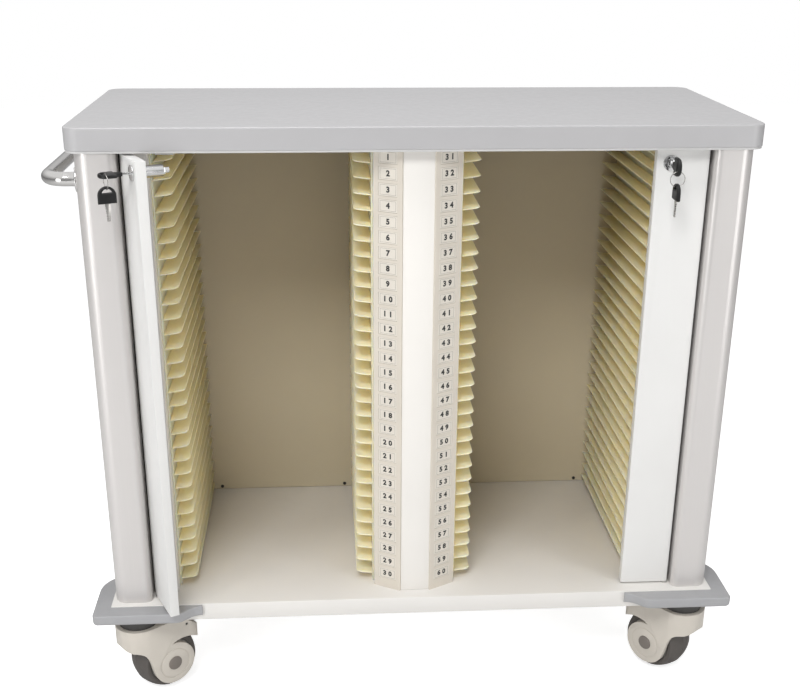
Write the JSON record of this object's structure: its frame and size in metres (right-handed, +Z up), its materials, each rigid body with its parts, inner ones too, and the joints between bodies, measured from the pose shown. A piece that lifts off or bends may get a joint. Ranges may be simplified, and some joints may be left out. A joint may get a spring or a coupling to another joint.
{
  "type": "medical chart rack",
  "caption": "Mobile two-bay medical chart rack with numbered slots, hinged locking flaps with keyed locks, a side push handle, corner bumpers and braked swivel casters.",
  "frame": {"origin": "on the floor, under the middle of the whole part's box at rest", "axes": "+X to the right along the rack's length, +Y to its back, +Z up; the open bays face -Y"},
  "size_m": [1.126, 0.5448, 0.993],
  "materials": {
    "top_grey": "satin moulded light grey",
    "panel_white": "satin white powder coat",
    "flap_white": "satin white powder coat",
    "column_satin": "satin anodised, drawn lengthways",
    "rack_cream": "fine matte cream moulding",
    "label_cream": "matte warm beige",
    "card_white": "printed card behind a clear film",
    "bumper_grey": "soft matte grey",
    "handle_steel": "polished tube",
    "screw_steel": "plain steel",
    "screw_black": "black oxide",
    "swivel_dark": "dark grey coated steel",
    "hood_cream": "semi-gloss warm grey cream",
    "axle_grey": "satin grey cap",
    "hub_grey": "matte grey",
    "tyre_dark": "matte dark grey non-marking",
    "pedal_black": "matte black",
    "lock_chrome": "polished nickel",
    "key_black": "semi-gloss black",
    "key_steel": "nickel plated"
  },
  "bodies": {
    "rack": {"top_cover": "top_grey", "top_underpanel": "panel_white", "base_tray": "panel_white", "base_beams": "panel_white", "front_left_column": "column_satin", "front_right_column": "column_satin", "rear_left_column": "column_satin", "rear_right_column": "column_satin", "left_side_panel": "panel_white", "right_side_panel": "panel_white", "back_panel": "panel_white", "left_inner_wall": "panel_white", "right_inner_wall": "panel_white", "centre_divider": "panel_white", "left_wall_rack": "rack_cream", "divider_left_rack": "rack_cream", "divider_right_rack": "rack_cream", "right_wall_rack": "rack_cream", "left_label_strip": "label_cream", "right_label_strip": "label_cream", "slot_cards": "card_white", "front_left_bumper": "bumper_grey", "front_right_bumper": "bumper_grey", "rear_left_bumper": "bumper_grey", "rear_right_bumper": "bumper_grey", "push_handle": "handle_steel", "handle_screws": "screw_steel", "flap_pivot_pins": "screw_steel", "back_panel_screws": "screw_black", "caster_stems": "swivel_dark"},
    "front_left_caster": {"front_left_caster_hood": "hood_cream", "front_left_caster_axle": "axle_grey"},
    "front_left_wheel": {"front_left_wheel_hub": "hub_grey", "front_left_tyre": "tyre_dark"},
    "front_right_caster": {"front_right_caster_hood": "hood_cream", "front_right_caster_axle": "axle_grey"},
    "front_right_wheel": {"front_right_wheel_hub": "hub_grey", "front_right_tyre": "tyre_dark"},
    "rear_left_caster": {"rear_left_caster_hood": "hood_cream", "rear_left_caster_axle": "axle_grey"},
    "rear_left_wheel": {"rear_left_wheel_hub": "hub_grey", "rear_left_tyre": "tyre_dark"},
    "rear_right_caster": {"rear_right_caster_hood": "hood_cream", "rear_right_caster_axle": "axle_grey"},
    "rear_right_wheel": {"rear_right_wheel_hub": "hub_grey", "rear_right_tyre": "tyre_dark"},
    "front_left_brake": {"front_left_brake_pedal": "pedal_black"},
    "front_right_brake": {"front_right_brake_pedal": "pedal_black"},
    "left_flap_body": {"left_flap": "flap_white", "left_lock_body": "lock_chrome"},
    "left_lock": {"left_lock_plug": "lock_chrome", "left_key_bow": "key_black"},
    "left_spare_key": {"left_spare_key_bow": "key_black", "left_spare_key_blade": "key_steel"},
    "right_flap_body": {"right_flap": "flap_white", "right_lock_body": "lock_chrome"},
    "right_lock": {"right_lock_plug": "lock_chrome", "right_key_bow": "key_black"},
    "right_spare_key": {"right_spare_key_bow": "key_black", "right_spare_key_blade": "key_steel"}
  },
  "joints": [
    {"name": "left_flap_hinge", "type": "hinge", "parent": "rack", "child": "left_flap_body", "pos_m": [-0.428, -0.18402, 0.192], "axis": [0, 0, -1], "range_deg": [-65, 35]},
    {"name": "left_lock_turn", "type": "hinge", "parent": "left_flap_body", "child": "left_lock", "pos_m": [-0.40796, -0.23647, 0.9325], "axis": [0.9063, 0.4226, 0], "range_deg": [0, 90]},
    {"name": "left_spare_key_swing", "type": "hinge", "parent": "left_lock", "child": "left_spare_key", "pos_m": [-0.44157, -0.26306, 0.9325], "axis": [0.9063, 0.4226, 0], "range_deg": [-90, 0]},
    {"name": "right_flap_hinge", "type": "hinge", "parent": "rack", "child": "right_flap_body", "pos_m": [0.458, -0.18402, 0.192], "axis": [0, 0, 1], "range_deg": [0, 100]},
    {"name": "right_lock_turn", "type": "hinge", "parent": "right_flap_body", "child": "right_lock", "pos_m": [0.402, -0.18802, 0.9325], "axis": [0, -1, 0], "range_deg": [0, 90]},
    {"name": "right_spare_key_swing", "type": "hinge", "parent": "right_lock", "child": "right_spare_key", "pos_m": [0.402, -0.22972, 0.92261], "axis": [0, -1, 0], "range_deg": [-90, 0]},
    {"name": "front_left_swivel", "type": "hinge", "parent": "rack", "child": "front_left_caster", "pos_m": [-0.466, -0.18302, 0.141], "axis": [0, 0, 1], "continuous": true},
    {"name": "front_left_wheel_roll", "type": "hinge", "parent": "front_left_caster", "child": "front_left_wheel", "pos_m": [-0.43246, -0.15775, 0.056], "axis": [0.6018, -0.7986, 0], "continuous": true},
    {"name": "front_left_brake_press", "type": "hinge", "parent": "front_left_caster", "child": "front_left_brake", "pos_m": [-0.4101, -0.1409, 0.1247], "axis": [0.6018, -0.7986, 0], "range_deg": [0, 12]},
    {"name": "front_right_swivel", "type": "hinge", "parent": "rack", "child": "front_right_caster", "pos_m": [0.496, -0.18302, 0.141], "axis": [0, 0, 1], "continuous": true},
    {"name": "front_right_wheel_roll", "type": "hinge", "parent": "front_right_caster", "child": "front_right_wheel", "pos_m": [0.47014, -0.14993, 0.056], "axis": [0.788, 0.6157, 0], "continuous": true},
    {"name": "front_right_brake_press", "type": "hinge", "parent": "front_right_caster", "child": "front_right_brake", "pos_m": [0.4529, -0.12786, 0.1247], "axis": [0.788, 0.6157, 0], "range_deg": [0, 12]},
    {"name": "rear_left_swivel", "type": "hinge", "parent": "rack", "child": "rear_left_caster", "pos_m": [-0.466, 0.21298, 0.141], "axis": [0, 0, 1], "continuous": true},
    {"name": "rear_left_wheel_roll", "type": "hinge", "parent": "rear_left_caster", "child": "rear_left_wheel", "pos_m": [-0.42794, 0.19523, 0.056], "axis": [-0.4226, -0.9063, 0], "continuous": true},
    {"name": "rear_right_swivel", "type": "hinge", "parent": "rack", "child": "rear_right_caster", "pos_m": [0.496, 0.21298, 0.141], "axis": [0, 0, 1], "continuous": true},
    {"name": "rear_right_wheel_roll", "type": "hinge", "parent": "rear_right_caster", "child": "rear_right_wheel", "pos_m": [0.45793, 0.19523, 0.056], "axis": [-0.4226, 0.9063, 0], "continuous": true}
  ],
  "couplings": [
    {"joint": "left_spare_key_swing", "follows": "left_lock_turn", "ratio": -1},
    {"joint": "right_spare_key_swing", "follows": "right_lock_turn", "ratio": -1}
  ]
}
